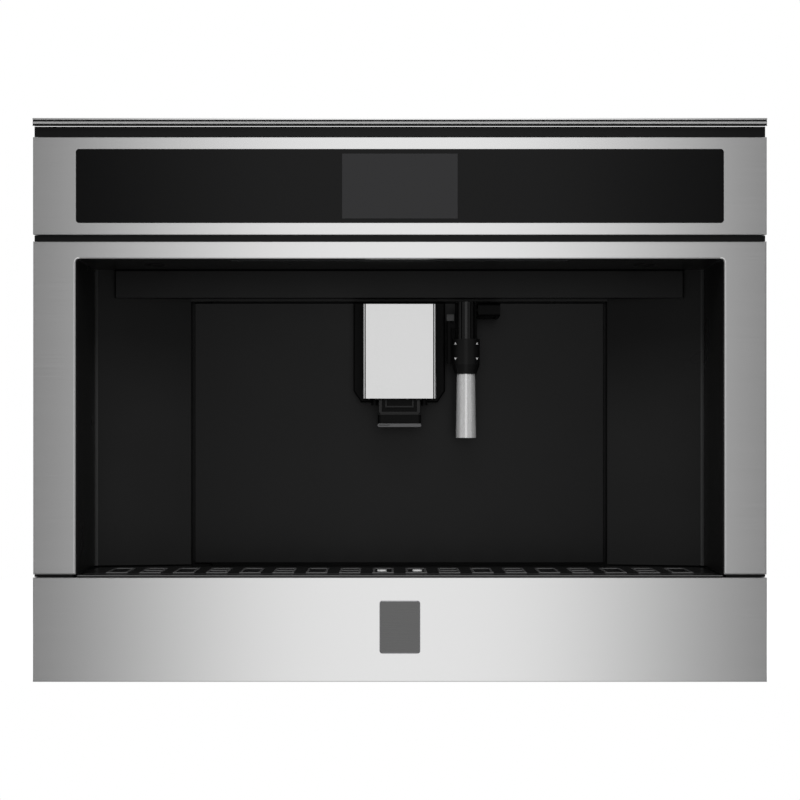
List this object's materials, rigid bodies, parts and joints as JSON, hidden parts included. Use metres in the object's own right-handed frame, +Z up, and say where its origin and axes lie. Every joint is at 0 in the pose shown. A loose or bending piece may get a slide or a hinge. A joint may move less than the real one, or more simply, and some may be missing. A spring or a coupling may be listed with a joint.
{
  "type": "built-in coffee machine",
  "caption": "Built-in bean-to-cup coffee machine on telescopic rails, with a touch fascia, sliding spout, milk frother wand, service door and drip tray drawer.",
  "frame": {"origin": "centre of the footprint on the shelf the machine stands on", "axes": "+X to the viewer's right, front facing -Y, +Z up"},
  "size_m": [0.595, 0.4758, 0.4575],
  "materials": {
    "stainless": "horizontal brushed",
    "zinc_sheet": "galvanised",
    "rail_steel": "bright zinc",
    "machined_steel": "satin",
    "black_moulding": "satin moulded",
    "grey_moulding": "satin moulded",
    "smoked_plastic": "gloss",
    "black_glass": "gloss",
    "screen": "satin",
    "light_lens": "frosted",
    "white_mark": "satin",
    "tank_plastic": "clear",
    "motor_can": "satin",
    "silicone": "matt",
    "foot_rubber": "matt",
    "board_green": "solder mask",
    "inlet_plastic": "satin"
  },
  "bodies": {
    "cabinet_rails": {"rail_outers": "rail_steel"},
    "rail_middle_pair": {"rail_middles": "rail_steel"},
    "machine": {"rail_inners": "rail_steel", "fixing_screws": "machined_steel", "chassis_base": "zinc_sheet", "side_panel_left": "zinc_sheet", "side_panel_right": "zinc_sheet", "rear_panel": "zinc_sheet", "top_cover": "zinc_sheet", "bulkhead": "zinc_sheet", "feet": "foot_rubber", "front_carrier": "black_moulding", "top_trim": "stainless", "control_fascia": "stainless", "control_glass": "black_glass", "display_module": "screen", "niche_frame": "stainless", "niche_liner": "black_moulding", "header_panel": "black_moulding", "cup_light_lens": "light_lens", "door_hinge_brackets": "machined_steel", "bean_hopper": "smoked_plastic", "doser_chute": "grey_moulding", "lid_pins": "machined_steel", "grinder_housing": "grey_moulding", "upper_burr": "machined_steel", "grinder_motor": "motor_can", "brew_unit": "grey_moulding", "brew_motor": "grey_moulding", "grounds_container": "grey_moulding", "tank_seat": "grey_moulding", "boilers": "machined_steel", "water_pump": "motor_can", "water_hoses": "silicone", "power_board": "board_green", "power_inlet": "inlet_plastic"},
    "service_door": {"door_panel": "black_moulding", "door_hinge_pins": "machined_steel", "spout_guide": "black_moulding", "wand_bracket": "black_moulding"},
    "coffee_spout": {"spout_plate": "stainless", "spout_shell": "black_moulding", "spout_nozzles": "black_moulding", "spout_grip": "grey_moulding"},
    "steam_wand": {"wand_arm": "black_moulding", "steam_tube": "machined_steel", "wand_tab": "black_moulding"},
    "milk_selector": {"selector_ring": "black_moulding"},
    "frother": {"frother_sleeve": "stainless"},
    "drip_drawer": {"lower_panel": "stainless", "drip_tray": "black_moulding"},
    "grate": {"cup_grate": "black_moulding", "cup_marks": "white_mark"},
    "bean_cover": {"bean_lid": "smoked_plastic"},
    "chute_cover": {"chute_lid": "grey_moulding"},
    "grind_dial": {"grind_knob": "grey_moulding"},
    "driven_burr": {"lower_burr": "machined_steel"},
    "tank": {"water_tank": "tank_plastic"},
    "tank_cover": {"tank_lid": "grey_moulding"},
    "rocker": {"mains_switch": "inlet_plastic"}
  },
  "joints": [
    {"name": "machine_slide", "type": "slide", "parent": "cabinet_rails", "child": "machine", "axis": [0, -1, 0], "range_m": [0, 0.35]},
    {"name": "rail_middle_slide", "type": "slide", "parent": "cabinet_rails", "child": "rail_middle_pair", "axis": [0, -1, 0], "range_m": [0, 0.175]},
    {"name": "door_hinge", "type": "hinge", "parent": "machine", "child": "service_door", "pos_m": [-0.1715, -0.0806, 0.2], "axis": [0, 0, 1], "range_deg": [-90, 0]},
    {"name": "spout_height", "type": "slide", "parent": "service_door", "child": "coffee_spout", "axis": [0, 0, 1], "range_m": [-0.045, 0]},
    {"name": "wand_tilt", "type": "hinge", "parent": "service_door", "child": "steam_wand", "pos_m": [0.0566, -0.1371, 0.3074], "axis": [-1, 0, 0], "range_deg": [0, 40]},
    {"name": "milk_selector_slide", "type": "slide", "parent": "steam_wand", "child": "milk_selector", "axis": [0, 0, 1], "range_m": [0, 0.008]},
    {"name": "frother_pull", "type": "slide", "parent": "steam_wand", "child": "frother", "axis": [0, 0, -1], "range_m": [0, 0.03]},
    {"name": "drawer_slide", "type": "slide", "parent": "machine", "child": "drip_drawer", "axis": [0, -1, 0], "range_m": [0, 0.15]},
    {"name": "grate_lift", "type": "slide", "parent": "drip_drawer", "child": "grate", "axis": [0, 0, 1], "range_m": [0, 0.02]},
    {"name": "bean_lid_hinge", "type": "hinge", "parent": "machine", "child": "bean_cover", "pos_m": [0.12, 0.0989, 0.4471], "axis": [-1, 0, 0], "range_deg": [0, 95]},
    {"name": "chute_lid_hinge", "type": "hinge", "parent": "machine", "child": "chute_cover", "pos_m": [-0.05, 0.0569, 0.4471], "axis": [-1, 0, 0], "range_deg": [0, 95]},
    {"name": "grind_setting", "type": "hinge", "parent": "machine", "child": "grind_dial", "pos_m": [0.23, 0.0229, 0.44], "axis": [0, 0, 1], "range_deg": [-135, 135]},
    {"name": "burr_drive", "type": "hinge", "parent": "machine", "child": "driven_burr", "pos_m": [0.12, 0.0229, 0.33], "axis": [0, 0, 1], "continuous": true},
    {"name": "tank_lift", "type": "slide", "parent": "machine", "child": "tank", "axis": [0, 0, 1], "range_m": [0, 0.26]},
    {"name": "tank_lid_lift", "type": "slide", "parent": "tank", "child": "tank_cover", "axis": [0, 0, 1], "range_m": [0, 0.04]},
    {"name": "mains_rocker", "type": "hinge", "parent": "machine", "child": "rocker", "pos_m": [0.168, 0.2319, 0.06], "axis": [1, 0, 0], "range_deg": [0, 12]}
  ],
  "couplings": [
    {"joint": "rail_middle_slide", "follows": "machine_slide", "ratio": 0.5}
  ]
}
